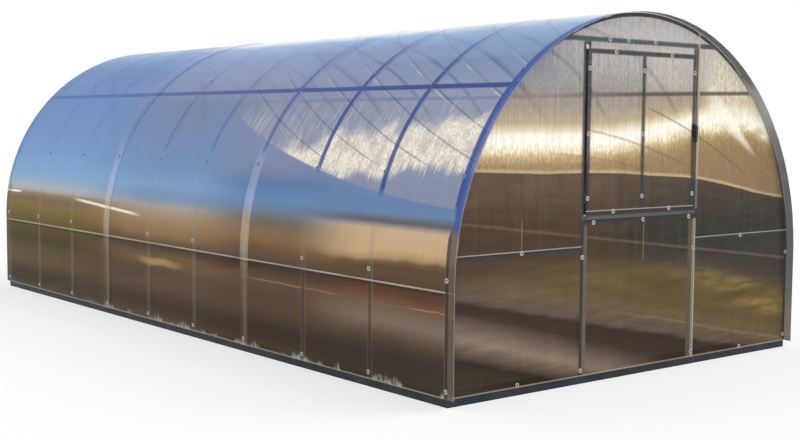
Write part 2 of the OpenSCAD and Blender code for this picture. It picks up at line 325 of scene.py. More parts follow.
# %% Painted steel
def painted_steel(name, paint, worn, dust_colour, dust_size):
    material, tree, shader = new_material(name)
    dust_on, grain = use_group(tree, dust, dust_size)[:2]
    wear = noise(tree, vector(tree, *place(tree)), 5.0, 5.0)
    colour = mixed(tree, fade(tree, wear, 0.42, 0.7), rgb(paint), rgb(worn))
    feed(tree, shader.inputs["Base Color"], mixed(tree, dust_on, colour, rgb(dust_colour)))
    feed(tree, shader.inputs["Roughness"], fade(tree, grain, 0.2, 0.8, 0.38, 0.62))
    add_bump(tree, shader, grain, 0.15, 0.0004)
    shader.inputs["Specular IOR Level"].default_value = 0.3
    return material


def add_bump(tree, shader, height, strength, distance):
    """A Bump node that feeds the shader's Normal."""
    bump = tree.nodes.new("ShaderNodeBump")
    bump.inputs["Strength"].default_value = strength
    bump.inputs["Distance"].default_value = distance
    feed(tree, bump.inputs["Height"], height)
    feed(tree, shader.inputs["Normal"], bump.outputs[0])


tube_paint = painted_steel("tube_paint", "262c34", "3b4148", "a59a84", 0.12)
base_paint = painted_steel("base_paint", "18222b", "28333c", "7d786c", 0.2)
hinge_paint = painted_steel("hinge_paint", "1a2029", "3a3f46", "8f8a7c", 0.05)

dress([n for n in nodes if n.startswith(("arch_", "purlin_")) or n.endswith(("_frame", "_sill", "_tie"))
       or n.endswith(("bottom_rail", "rail_left", "rail_right", "post_left", "post_right"))], tube_paint)
dress([n for n in nodes if n.startswith("base_")], base_paint)
dress([n for n in nodes if n.endswith("_hinges")], hinge_paint)

# %% [markdown]
# The lever latches are moulded from black plastic with a fine even grain.

# %% Latch plastic
latch_plastic, tree, shader = new_material("latch_plastic")
here = vector(tree, *place(tree))
grain = noise(tree, here, 900.0, 2.0)
scuffs = noise(tree, here, 60.0, 4.0)
scuffed = fade(tree, scuffs, 0.55, 0.75)
feed(tree, shader.inputs["Base Color"], mixed(tree, scuffed, rgb("121316"), rgb("2a2b2e")))
feed(tree, shader.inputs["Roughness"], fade(tree, grain, 0.3, 0.7, 0.42, 0.6))
add_bump(tree, shader, grain, 0.2, 0.0002)
dress([n for n in nodes if n.endswith("_latch")], latch_plastic)

# %% [markdown]
# The sheets are painted with masks: numbers from 0 to 1 that say how much of a colour shows at a place.
# These helpers join masks and lengths, in the material that is being made.

# %% Helpers for masks
def plus(a, b):
    """The sum of two numbers."""
    return calc(tree, "ADD", a, b)


def minus(a, b):
    """What is left of a without b."""
    return calc(tree, "SUBTRACT", a, b)


def times(*values):
    """The product of some masks."""
    product = values[0]
    for value in values[1:]:
        product = calc(tree, "MULTIPLY", product, value)
    return product


def most(*values):
    """The highest of some masks."""
    high = values[0]
    for value in values[1:]:
        high = calc(tree, "MAXIMUM", high, value)
    return high


def fall(value, low, high):
    """1 up to low, and 0 from high on."""
    return fade(tree, value, low, high, 1.0, 0.0)


def drifting(value, wander, reach):
    """value pushed up and down by a slow noise."""
    return plus(value, times(minus(wander, 0.5), reach))


def off_nearest(value, pitch):
    """How far value is from the nearest whole multiple of pitch."""
    turns = calc(tree, "DIVIDE", value, pitch)
    return times(minus(turns, calc(tree, "ROUND", turns)), pitch)


def line(value, middle, half, soft=0.35):
    """1 within half of middle, falling to 0 over a soft share of half."""
    off = calc(tree, "ABSOLUTE", minus(value, middle))
    return fall(off, half * (1 - soft), half * (1 + soft))


print("masks: times, most, fall, drifting, off_nearest and line are ready")

# %% [markdown]
# The cover sheets are twin-wall plastic, 4 mm thick, with flutes that run up over the arches.
# They mirror the country round the greenhouse: dark soil at the foot, dry grass, then the sky.
# That is painted on by height, in the piece's own space, so it stays where it is from every side.
# Four ramps, each for one stretch of the house, are mixed along it, and noise makes the bands wander.
# The outer face carries the mirrored land. From inside, where a sheet mirrors little, it is a thin haze.

# %% Cover sheets: where a point is
ARCH_PITCH = 0.66444
FIRST_ARCH = -2.99
SPRING = 0.635
ARCH_R = 1.5
SHEET_GLOSS = 0.012
INNER_SOLID = 0.08

cover_sheet, tree, shader = new_material("cover_sheet")
x, y, z = place(tree)
above_spring = most(minus(z, SPRING), 0.0)
angle = calc(tree, "ARCTAN2", above_spring, calc(tree, "ABSOLUTE", x))
girth = plus(calc(tree, "MINIMUM", z, SPRING), times(angle, ARCH_R))
fine, broad = use_group(tree, streaks, y, girth)[:2]
behind = looks(tree)[1]
outer_face, from_outside = use_group(tree, sheet_side, vector(tree, x, 0.0, above_spring), behind)[:2]


def finish_sheet(look, inner_haze, solid, inside_solid):
    """Shows the look on the outer face from outside, and a thin haze from inside."""
    feed(tree, shader.inputs["Base Color"], mixed(tree, times(outer_face, from_outside), inner_haze, look))
    outer_solid = plus(times(from_outside, solid), times(minus(1.0, from_outside), inside_solid))
    inner_share = times(minus(1.0, outer_face), INNER_SOLID)
    feed(tree, shader.inputs["Alpha"], plus(times(outer_face, outer_solid), inner_share))
    shader.inputs["Specular IOR Level"].default_value = SHEET_GLOSS
    feed(tree, shader.inputs["Roughness"], fade(tree, broad, 0.2, 0.8, 0.12, 0.3))
    add_bump(tree, shader, fine, 0.2, 0.001)


print("over the arch, from ground to ground:", round(2 * SPRING + math.pi * ARCH_R, 2), "m")

# %% Cover sheets: the mirrored land and sky
horizon_calm = fade(tree, calc(tree, "ABSOLUTE", minus(z, 0.91)), 0.02, 0.16, 0.012, 0.08)
wander = noise(tree, vector(tree, times(y, 1.1), times(girth, 2.0), 0.0), 1.0, 4.0)
ripple = noise(tree, vector(tree, times(y, 2.6), 0.0, 8.0), 1.0, 4.0)
on_hill = line(z, 0.71, 0.08, 0.5)
height = drifting(drifting(z, wander, horizon_calm), ripple, times(on_hill, 0.06))
height = plus(height, times(on_hill, line(y, -2.05, 0.3, 0.8), 0.035))
near_land = ramp(tree, height, [
    (0.05, "403a31"), (0.10, "3f332a"), (0.20, "3b3028"), (0.26, "493a2f"),
    (0.31, "5f4d40"), (0.38, "7b6a5d"), (0.43, "786454"), (0.48, "6c5946"),
    (0.51, "6f4a37"), (0.55, "5b3c2a"), (0.59, "523a2c"), (0.63, "58493b"),
    (0.67, "604d3b"), (0.71, "5f4938"), (0.74, "745a40"), (0.76, "aa8d68"),
    (0.80, "c3a67f"), (0.90, "c3aa8a"), (0.92, "948b86"), (0.94, "615d62"),
    (0.96, "67717f"), (0.99, "6a85a8"), (1.05, "6783ab"), (1.30, "7f90b4"),
    (1.60, "8c97ae"), (1.80, "8a98b4"), (1.95, "86a0c4"), (2.05, "96b0d4"),
    (2.12, "d4e0ec")], 0.0, 2.2)
second_land = ramp(tree, height, [
    (0.05, "4a4036"), (0.10, "43362a"), (0.15, "3c2e22"), (0.20, "3b2e23"),
    (0.30, "524031"), (0.40, "564332"), (0.50, "624a38"), (0.57, "453425"),
    (0.63, "594f43"), (0.68, "6c533d"), (0.74, "816648"), (0.80, "806a53"),
    (0.86, "71675c"), (0.90, "6f737c"), (0.93, "6d7f96"), (1.00, "6789b0"),
    (1.10, "627ba5"), (1.20, "7d87a5"), (1.30, "7f8cab"), (1.60, "8089a8"),
    (1.80, "8e99b6"), (1.95, "8c9cc0"), (2.05, "8fb3db"), (2.10, "eef4f8")], 0.0, 2.2)
mid_land = ramp(tree, height, [
    (0.05, "5c5146"), (0.10, "4b3d31"), (0.16, "423428"), (0.22, "4b3b2e"),
    (0.30, "5c4a3a"), (0.42, "5e4d3f"), (0.48, "725b43"), (0.53, "6c563f"),
    (0.57, "53433a"), (0.62, "64543f"), (0.68, "8a6f52"), (0.74, "957a5a"),
    (0.80, "a3896a"), (0.85, "a59686"), (0.88, "a29b98"), (0.90, "8f97a2"),
    (0.93, "7c94b2"), (0.98, "7b96b8"), (1.02, "7f9ec4"), (1.15, "7592b8"),
    (1.40, "7489ad"), (1.60, "7583a2"), (1.80, "8a96b4"), (1.95, "8a9ec5"),
    (2.05, "92add4"), (2.10, "f2f6fa")], 0.0, 2.2)
far_land = ramp(tree, height, [
    (0.05, "5a5248"), (0.10, "48402e"), (0.18, "4c402f"), (0.28, "62523a"),
    (0.38, "5e4f35"), (0.47, "4c442d"), (0.55, "594a2c"), (0.62, "655830"),
    (0.68, "735e34"), (0.76, "7f6b43"), (0.82, "7b674a"), (0.86, "897d64"),
    (0.89, "aaa8a0"), (0.92, "a6b2b9"), (0.97, "94acc6"), (1.05, "82a6cc"),
    (1.20, "779ac8"), (1.40, "7492c1"), (1.60, "6b8bbe"), (1.80, "6f8ab9"),
    (1.95, "688abd"), (2.05, "7093c3"), (2.12, "94afd3")], 0.0, 2.2)
land = mixed(tree, fade(tree, y, -2.3, -1.5), near_land, second_land)
land = mixed(tree, fade(tree, y, -1.1, -0.2), land, mid_land)
land = mixed(tree, fade(tree, y, 0.3, 1.8), land, far_land)

golden_thread = times(line(drifting(z, ripple, 0.06), 0.490, 0.004), fall(y, -1.3, -0.9),
                      fade(tree, wander, 0.40, 0.55))
sunlit_patch = times(line(drifting(z, ripple, 0.05), 0.475, 0.024, 0.6), line(y, 0.16, 0.26, 0.6))
land = mixed(tree, most(times(golden_thread, 0.45), times(sunlit_patch, 0.7)), land, rgb("b39360"))
glint_height = plus(0.770, times(y, 0.053))
glint = times(line(z, glint_height, 0.009, 0.8), line(y, 1.05, 0.5, 0.3))
far_glint = times(line(z, 0.865, 0.008, 0.8), fade(tree, y, 2.7, 2.8))
land = mixed(tree, times(most(glint, far_glint), 0.9), land, rgb("fdf2e0"))

# %% [markdown]
# A patch of low sun is painted on the roof of the front sheet, bright, with a sharp lower edge.
# Its lower edge rises to the back. It is cream and speckled near that edge, and a grey haze above.
# Thin slanting shadows of the arches on the far side are painted across it, a little closer together than
# the arches are.

# %% Cover sheets: the sunlit patch on the roof
SHADOW_PITCH = 0.468
EDGE_START, EDGE_RISE, EDGE_CURVE = 1.03, 0.05, 0.056

speckle = noise(tree, vector(tree, times(y, 85.0), times(girth, 42.0), 3.0), 1.0, 3.0, 0.7)
blotches = noise(tree, vector(tree, times(y, 5.0), times(girth, 3.5), 6.0), 1.0, 4.0)
edge_run = plus(y, 3.0)
patch_edge = plus(EDGE_START, plus(times(edge_run, EDGE_RISE), times(edge_run, edge_run, EDGE_CURVE)))
over_edge = minus(z, patch_edge)
patch = times(fade(tree, over_edge, 0.0, 0.014), fall(y, -0.75, -0.25))
haze = times(patch, fall(z, 1.45, 1.85), fade(tree, speckle, 0.3, 0.65, 0.55, 0.9))
land = mixed(tree, haze, land, rgb("8d92a5"))
blotched = drifting(drifting(z, blotches, 0.17), fine, 0.14)
cream_top = drifting(drifting(blotched, fine, 0.10), blotches, 0.15)
cream_top = minus(cream_top, fade(tree, y, -3.0, -1.8, 0.09, 0.0))
cream_top = plus(cream_top, fade(tree, y, -1.75, -1.35, 0.0, 0.09))
cream_foot = fade(tree, y, -2.7, -2.2, 1.21, 1.15)
mottles = noise(tree, vector(tree, times(y, 16.0), times(girth, 9.0), 5.0), 1.0, 3.0)
cream = times(patch, fade(tree, blotched, cream_foot, plus(cream_foot, 0.07)), fall(cream_top, 1.36, 1.48),
              fade(tree, mottles, 0.35, 0.5, 0.82, 1.0), fade(tree, speckle, 0.28, 0.58, 0.78, 0.97),
              fade(tree, fine, 0.25, 0.5, 0.8, 1.0), fade(tree, y, -1.3, -0.7, 1.0, 0.35))
cream_colour = mixed(tree, fade(tree, speckle, 0.32, 0.62), rgb("cfc4b4"), rgb("faf3e4"))
cream_colour = mixed(tree, fade(tree, mottles, 0.40, 0.60, 0.45, 0.0), cream_colour, rgb("c4b5a3"))
land = mixed(tree, cream, land, cream_colour)
threads = times(patch, fade(tree, fine, 0.50, 0.66, 0.0, 0.5), fade(tree, z, 1.34, 1.46),
                fall(blotched, 1.45, 1.68))
land = mixed(tree, threads, land, rgb("dedad8"))

down = minus(1.64, z)
shadow_run = plus(plus(y, 1.11), plus(times(down, 2.55), times(down, down, down, 2.0)))
off_shadow = off_nearest(shadow_run, SHADOW_PITCH)
shadow_zone = times(patch, fade(tree, z, 1.23, 1.30), fade(tree, z, 1.62, 1.85, 1.0, 0.3),
                    fade(tree, blotches, 0.35, 0.5, 0.5, 1.0))
land = mixed(tree, times(line(off_shadow, 0.0, 0.013, 0.5), shadow_zone, 0.55), land, rgb("66667a"))
lit_edges = times(patch, line(off_shadow, 0.034, 0.010, 0.6), line(z, 1.73, 0.13, 0.4),
                  fade(tree, blotches, 0.45, 0.55))
land = mixed(tree, times(lit_edges, fade(tree, y, -1.9, -1.4, 0.3, 0.1)), land, rgb("dcd9dc"))
print("the patch ends at", round(EDGE_START + EDGE_RISE * 2.5 + EDGE_CURVE * 2.5 ** 2, 2), "m")

# %% [markdown]
# Where a sheet lies on a tube, the look of the tube is painted on the sheet.
# Low down the arches are painted as greyish stripes, where light on the tubes shows through. The purlin is
# painted as a thin bright line: a painted highlight on its top, and dust.
# On the roof both are painted dark blue, as they look under the painted reflection of the sky.
# Where two sheets lap, the doubled plastic is milkier. Rain has splashed a little dirt up the foot.

# %% Cover sheets: tubes and laps
TUBE_SHIFT = -0.014

off_arch = off_nearest(minus(y, FIRST_ARCH), ARCH_PITCH)
on_tube = line(off_arch, TUBE_SHIFT, 0.020)
in_sky = fade(tree, z, 0.88, 0.97)
on_land = minus(1.0, in_sky)
# Low down: painted greyish stripes where light on the arches shows through, and a dark core near the front.
low_stripe = times(line(off_arch, TUBE_SHIFT, 0.026, 0.3), on_land)
land = mixed(tree, times(low_stripe, fade(tree, broad, 0.3, 0.6, 0.12, 0.26)), land, rgb("8f8779"))
near_core = times(line(off_arch, -0.008, 0.015, 0.4), fade(tree, z, 0.56, 0.68, 1.0, 0.12), on_land,
                  fade(tree, y, -1.6, -1.0, 0.5, 0.0))
land = mixed(tree, near_core, land, rgb("2f2d29"))
# On the roof: the arches and the purlin painted dark blue, as under the painted sky.
stripe_start = calc(tree, "MINIMUM", patch_edge, 1.28)
sky_stripe = times(on_tube, fade(tree, minus(z, stripe_start), -0.03, 0.04),
                   fade(tree, y, -1.6, -0.3, 0.88, 0.34), fade(tree, y, 0.2, 1.6, 1.0, 0.45),
                   fade(tree, z, 1.75, 2.05, 1.0, 0.55))
roof_purlin = times(line(girth, SPRING + ARCH_R * math.radians(44.8), 0.019, 0.3),
                    fade(tree, y, -3.0, 3.0, 0.92, 0.6))
tube_blue = mixed(tree, fade(tree, y, -3.0, 3.0), rgb("2c4684"), rgb("46639f"))
land = mixed(tree, most(sky_stripe, roof_purlin), land, tube_blue)

from_middle = calc(tree, "ABSOLUTE", y)
lap = line(from_middle, 1.003, 0.05, 0.12)
lap_milk = times(lap, fade(tree, z, 0.45, 0.75, 0.05, 0.36), fall(z, 0.9, 1.5),
                 fade(tree, broad, 0.2, 0.6, 0.8, 1.0))
land = mixed(tree, lap_milk, land, mixed(tree, in_sky, rgb("d3c6ae"), rgb("c2d0ea")))
print("nodes with the tubes and laps:", len(tree.nodes))

# %% Cover sheets: purlin, foot and end strips
# Over the purlin runs a thin bright line, partly a painted highlight on its top and partly dust, with
# painted shade under it. The splash at the foot is dirt.
dashes = noise(tree, vector(tree, times(y, 1.7), 0.0, 5.0), 1.0, 3.0)
purlin_highlight_and_dust = times(line(z, 0.606, 0.0045), fade(tree, dashes, 0.3, 0.6, 0.35, 0.68))
purlin_shade = times(line(z, 0.588, 0.009, 0.6), 0.35)
land = mixed(tree, purlin_shade, land, rgb("2e2822"))
foot_line = times(line(z, 0.047, 0.005), 0.45)
clumps = noise(tree, vector(tree, times(y, 3.4), 0.0, 2.0), 1.0, 2.0)
tufts = noise(tree, vector(tree, times(y, 42.0), times(z, 14.0), 7.0), 1.0, 3.0, 0.7)
splash_top = times(fade(tree, clumps, 0.40, 0.60), fade(tree, tufts, 0.2, 0.8), 0.06)
splash = times(fall(minus(minus(z, 0.045), splash_top), -0.03, 0.015),
               fade(tree, clumps, 0.44, 0.54), fade(tree, y, 1.6, 0.9),
               fade(tree, tufts, 0.3, 0.6, 0.25, 0.65))
land = mixed(tree, most(purlin_highlight_and_dust, foot_line, splash), land, rgb("c9c1b1"))

end_strip = fade(tree, plus(from_middle, times(on_land, 0.026)), 2.998, 3.004)
strip_look = mixed(tree, in_sky, rgb("63584c"), rgb("445a9a"))
rim_line = times(line(from_middle, 2.990, 0.011, 0.3), on_land)
strip_look = mixed(tree, times(rim_line, 0.8), strip_look, rgb("2f2a24"))
land = mixed(tree, times(end_strip, fade(tree, y, -1.0, 1.0, 0.85, 0.4)), land, strip_look)
edge_light = fade(tree, from_middle, 3.047, 3.051, 0.0, 0.3)
land = mixed(tree, edge_light, land, rgb("c3c6cc"))
print("nodes with the dirt and the strips:", len(tree.nodes))

# %% Cover sheets: how clear they are
solid = fade(tree, z, 1.38, 1.70, 0.985, fade(tree, y, -2.2, -0.2, 0.83, 0.965))
solid = most(solid, times(end_strip, 0.92), fade(tree, z, 1.65, 1.9, 0.0, 0.93))
light_behind = plus(times(in_sky, 0.5), fade(tree, z, 1.6, 2.05, 0.0, 0.5))
tube_behind = most(on_tube, roof_purlin, end_strip)
light_behind = times(light_behind, minus(1.0, tube_behind))
land = scaled(tree, land, fade(tree, fine, 0.3, 0.7, 0.96, 1.03))
brighter = scaled(tree, land, fade(tree, z, 1.6, 2.0, 1.1, 1.0))
look = use_group(tree, over_light, brighter, solid, light_behind)[0]
inner_strip = ramp(tree, drifting(z, blotches, 0.2), [
    (0.05, "7d7358"), (0.22, "83713f"), (0.38, "5a5340"), (0.50, "43474a"),
    (1.10, "4b4f58"), (1.25, "5c5e60"), (1.42, "7c7d7d"), (1.55, "a6a6a3"),
    (1.70, "9c998f"), (1.78, "4d504c"), (2.05, "3c3f3e")], 0.0, 2.2)
inner_haze = mixed(tree, in_sky, land, rgb("8e8a84"))
inner_haze = mixed(tree, fade(tree, from_middle, 3.0, 3.006), inner_haze, inner_strip)
inside_solid = most(fade(tree, z, 0.7, 1.2, 0.75, 0.45), times(end_strip, 0.9))
finish_sheet(look, inner_haze, solid, inside_solid)
dress([n for n in nodes if n.startswith("cover_")], cover_sheet)

# %% [markdown]
# The gable sheets have their flutes upright, and a bright ragged band of low sun shining through them is
# painted on.
# Below it the field round the house is painted in slanting bands, and above it a pale haze.
# Both gables are painted alike, so the place across is counted as it is seen when one faces the gable.

# %% Gable sheets: the painted bands of field
gable_sheet, tree, shader = new_material("gable_sheet")
x, y, z = place(tree)
front = calc(tree, "SIGN", times(y, -1.0))
x = times(x, front)
fine, broad = use_group(tree, streaks, x, z)[:2]
behind = looks(tree)[1]
outer_face, from_outside = use_group(tree, sheet_side, vector(tree, 0.0, y, 0.0), behind)[:2]
across = plus(x, ARCH_R)
wander = noise(tree, vector(tree, times(x, 1.1), times(z, 4.5), 3.0), 1.0, 4.0)
tussocks = noise(tree, vector(tree, times(x, 3.5), times(z, 22.0), 9.0), 1.0, 5.0, 0.6)
slant = drifting(drifting(plus(z, times(across, 0.2)), wander, 0.05), tussocks, 0.022)
fan_out = times(minus(times(across, 0.07), 0.06), fall(slant, 0.45, 0.56))
slant = plus(slant, fan_out)
field = ramp(tree, slant, [
    (0.05, "43382e"), (0.20, "33281e"), (0.27, "6f5c4e"), (0.32, "8a7866"),
    (0.37, "776659"), (0.42, "5f4f45"), (0.47, "41342a"), (0.55, "3a2e24"),
    (0.575, "5f5044"), (0.64, "6c5c48"), (0.70, "6b5b42"), (0.76, "64543a"),
    (0.84, "6f5e3c"), (0.95, "6c5d40"), (1.03, "55493a"), (1.10, "45403a")], 0.0, 1.4)
upper_field = mixed(tree, fade(tree, x, -0.6, 0.3), rgb("514236"), rgb("3f3d37"))
field = mixed(tree, fade(tree, z, 0.55, 0.78), field, upper_field)
field = mixed(tree, times(fade(tree, z, 0.85, 1.2), 0.75), field,
              mixed(tree, fade(tree, x, -0.6, 0.2), rgb("6e5a4b"), rgb("5f5146")))
straight = plus(z, times(x, 0.1225))
sunlit_grass = most(times(line(x, 0.9, 0.3, 0.9), line(slant, 0.96, 0.05, 0.8)),
                    times(line(x, 1.25, 0.25, 0.9), line(slant, 0.86, 0.045, 0.8)))
field = mixed(tree, times(sunlit_grass, fade(tree, tussocks, 0.35, 0.6), 0.5), field, rgb("9a824c"))
dim_grass = most(times(line(x, 0.25, 0.3, 0.9), line(slant, 0.86, 0.06, 0.8), 0.5),
                 times(line(x, 1.0, 0.35, 0.9), line(z, 0.40, 0.035, 0.8), 0.6))
field = mixed(tree, dim_grass, field, rgb("4d4129"))
field = mixed(tree, times(line(straight, 0.787, 0.008, 0.6), 0.45), field, rgb("7b6d60"))
furrow = times(line(slant, 0.655, 0.008, 0.6), fade(tree, x, -0.3, 0.1), 0.35)
field = mixed(tree, furrow, field, rgb("8f7f66"))
field = scaled(tree, field, fade(tree, broad, 0.3, 0.7, fade(tree, z, 0.7, 0.8, 0.98, 0.88), 1.04))
field = scaled(tree, field, fade(tree, tussocks, 0.3, 0.7, 0.88, 1.1))
print("nodes for the bands of field:", len(tree.nodes))

# %% Gable sheets: the glow
crest = minus(1.235, times(across, 0.035))
crest = plus(crest, times(line(x, -0.3, 0.3, 0.8), 0.014))
crest = drifting(minus(crest, fade(tree, x, 0.3, 1.6, 0.0, 0.13)), tussocks, 0.02)
clouds = noise(tree, vector(tree, times(x, 7.0), times(z, 8.0), 1.0), 1.0, 4.0, 0.6)
grain = noise(tree, vector(tree, times(x, 70.0), times(z, 26.0), 4.0), 1.0, 3.0, 0.7)
peak = minus(fade(tree, x, -0.5, 1.0, 1.39, 1.54), fade(tree, x, 0.85, 1.3, 0.0, 0.055))
over_peak = drifting(drifting(minus(z, peak), grain, 0.075), clouds, fade(tree, x, -0.5, 0.9, 0.02, 0.16))
glow = ramp(tree, over_peak, [
    (-0.35, "917757"), (-0.20, "987d57"), (-0.13, "a58c62"), (-0.09, "c4ae80"),
    (-0.055, "f2e4c0"), (-0.02, "fffdf0"), (0.03, "fffbea"), (0.065, "e2d2b0"),
    (0.10, "bfad90"), (0.18, "a99c8d"), (0.28, "a19b97"), (0.40, "adaaa6"),
    (0.60, "bcbabb")], -0.5, 0.7)
lighter = times(fade(tree, x, -0.3, 0.3), fade(tree, z, 1.62, 1.75), 0.6)
glow = mixed(tree, lighter, glow, rgb("cfc8c0"))
shaded = times(fall(x, -0.9, -0.4), fade(tree, z, 1.62, 1.8), 0.6)
glow = mixed(tree, shaded, glow, rgb("848b9b"))
right_glow = times(fade(tree, x, 0.5, 0.75), fade(tree, z, 1.48, 1.6), 0.8)
glow = mixed(tree, times(right_glow, fade(tree, grain, 0.3, 0.65, 0.45, 1.0)), glow, rgb("ece2c8"))
over_crest = minus(z, crest)
glow = mixed(tree, times(fall(over_crest, 0.008, 0.026), 0.75), glow, rgb("cdb58f"))
dim_right = times(fade(tree, x, 0.85, 1.4), fall(over_peak, -0.2, 0.0))
glow = scaled(tree, glow, minus(1.0, times(dim_right, 0.15)))
glow = scaled(tree, glow, fade(tree, grain, 0.3, 0.7, 0.86, 1.07))
glow = scaled(tree, glow, fade(tree, fine, 0.3, 0.7, 0.88, 1.08))
print("nodes with the glow:", len(tree.nodes))

# %% Gable sheets: shadow lines and flare in the glow
def bow(start, top, slope, curve, stop):
    """1 on a thin line that starts at (start, top) and falls ever faster, up to stop."""
    run = minus(x, start)
    drop = plus(times(run, slope), times(run, run, curve))
    return times(line(plus(z, drop), top, 0.007, 0.6), fade(tree, x, start, start + 0.1),
                 fall(x, stop - 0.1, stop))


bows = most(bow(0.0, 1.594, 0.27, 0.14, 1.05), times(bow(-0.5, 1.455, 0.13, 0.12, 0.48), 0.8),
            times(bow(-0.8, 1.32, 0.02, 0.13, 0.1), 0.5))
glow = mixed(tree, times(bows, 0.5), glow, rgb("6e5a3a"))
flare_run = minus(1.17, x)
flare_off = calc(tree, "ABSOLUTE", minus(minus(z, 1.25), times(flare_run, 0.762)))
flare_edge = minus(flare_off, times(flare_run, 0.12))
flare = times(fall(flare_edge, times(flare_run, -0.12), plus(times(flare_run, 0.14), 0.008)),
              fade(tree, flare_run, 0.0, 0.25), fall(flare_run, 0.38, 0.62),
              fade(tree, grain, 0.3, 0.6, 0.7, 1.0))
glow = mixed(tree, times(flare, 0.8), glow, rgb("fffbee"))
far_purlin = times(line(minus(z, times(x, 0.0232)), 1.664, 0.012, 0.4), fall(x, 1.02, 1.05))
glow = mixed(tree, times(far_purlin, fade(tree, x, -0.9, 0.1, 0.3, 0.85)), glow, rgb("524b44"))
colour = mixed(tree, fade(tree, over_crest, -0.004, 0.004), field, glow)
print("nodes with the shadow lines and the flare:", len(tree.nodes))

# %% Gable sheets: where the tubes are
POST_X, STILE_X = 0.5, 0.47
TIE_Z, SILL_Z, RAIL_Z = 1.965, 0.935, 0.782
LEAF_FOOT_Z, LEAF_HEAD_Z = 0.982, 1.898

side = calc(tree, "ABSOLUTE", x)
over_leaf = fade(tree, z, 0.965, 0.975)


def tube_lines(half, soft, lean=0.0, level=0.012):
    """1 over every tube of a gable frame: half is for uprights, moved by lean, and level for rails."""
    leaning = plus(x, lean)
    aside = calc(tree, "ABSOLUTE", leaning)
    of_leaf = times(most(line(aside, STILE_X, half, soft), line(leaning, 0.0, half, soft)),
                    over_leaf, fall(z, 1.904, 1.910))
    uprights = times(most(line(aside, POST_X, half, soft), of_leaf), fall(z, 1.972, 1.978))
    sill, foot, head, rail, tie = (line(z, level_z, level, soft)
                                   for level_z in (SILL_Z, LEAF_FOOT_Z, LEAF_HEAD_Z, RAIL_Z, TIE_Z))
    leaf_rails = times(most(sill, foot, head), fall(side, 0.48, 0.485))
    return most(uprights, leaf_rails, times(rail, fade(tree, side, 0.5, 0.51)), tie)


print("posts at", POST_X, "m and uprights of a leaf at", STILE_X, "m from the middle")

# %% Gable sheets: tubes behind them
reach_up = most(minus(z, SPRING), 0.0)
radius = calc(tree, "SQRT", plus(times(x, x), times(reach_up, reach_up)))
rim = fade(tree, radius, 1.474, 1.480)
in_glow = fade(tree, over_crest, -0.02, 0.03)
tubes = most(tube_lines(0.012, 0.2), rim)
jambs = times(line(side, 0.486, 0.026, 0.15), fade(tree, z, 0.925, 0.935), fall(z, 1.955, 1.965))
near_tubes = most(tubes, times(tube_lines(0.018, 0.3, 0.0, 0.015), in_glow, 0.8), times(jambs, 0.9))
lit_tube = mixed(tree, fade(tree, grain, 0.35, 0.65), rgb("3a3735"), rgb("57514d"))
high_tube = mixed(tree, line(z, TIE_Z, 0.02), rgb("3c3b3c"), rgb("4d5259"))
tube_colour = mixed(tree, in_glow, rgb("3f4144"), lit_tube)
tube_colour = mixed(tree, fade(tree, z, 1.8, 1.88), tube_colour, high_tube)
rim_colour = ramp(tree, z, [(0.9, "44474a"), (1.2, "4b4d50"), (1.35, "77726a"), (1.5, "a29c8e"),
                            (1.7, "a29c8e"), (1.85, "45474a"), (2.1, "3a3d3d")], 0.0, 2.2)
tube_colour = mixed(tree, times(rim, fade(tree, x, 0.6, 0.8)), tube_colour, rim_colour)
colour = mixed(tree, times(near_tubes, 0.92), colour, tube_colour)
under_leaf = fall(z, 0.90, 0.92)
# Below the leaf each post is painted with a shaded left side and a lighter, lit face: painted shade and
# highlight.
left_post_shading = mixed(tree, fade(tree, x, -0.495, -0.485), rgb("413e39"), rgb("6a6358"))
right_post_shading = mixed(tree, fade(tree, x, 0.485, 0.495), rgb("60574c"), rgb("8c8476"))
colour = mixed(tree, times(line(x, -0.487, 0.026, 0.15), under_leaf, 0.85), colour, left_post_shading)
colour = mixed(tree, times(line(x, 0.484, 0.034, 0.15), under_leaf, 0.9), colour, right_post_shading)
print("nodes with the tubes:", len(tree.nodes))

# %% Gable sheets: painted highlights on edges, and how clear they are
# A thin light line runs along the foot. Painted highlights run along the tops of the rails and the edge of
# the right post, and two faint drips run down.
foot_line = times(line(z, 0.047, 0.005), 0.45)
rail_tops = times(most(times(line(z, 0.791, 0.003), fade(tree, side, 0.5, 0.51)),
                       times(line(z, 0.991, 0.003), fall(side, 0.48, 0.485))), 0.6)
post_edge_highlight = times(line(x, 0.515, 0.004, 0.5), under_leaf, fade(tree, broad, 0.3, 0.6, 0.3, 0.7))
drips = most(times(line(x, -0.98, 0.004, 0.6), fade(tree, z, 0.78, 0.80), fall(z, 0.93, 0.99)),
             times(line(x, 0.03, 0.004, 0.6), fade(tree, z, 0.68, 0.70), fall(z, 0.92, 0.93)))
colour = mixed(tree, most(foot_line, rail_tops, post_edge_highlight, times(drips, 0.2)), colour, rgb("c3bdae"))
lap_edge = most(times(line(x, 0.514, 0.011, 0.1), over_leaf),
                times(line(z, 0.952, 0.010, 0.1), fall(side, 0.5, 0.51), 0.6))
colour = mixed(tree, times(lap_edge, 0.4), colour, mixed(tree, in_glow, rgb("8d929a"), rgb("dcd3c0")))

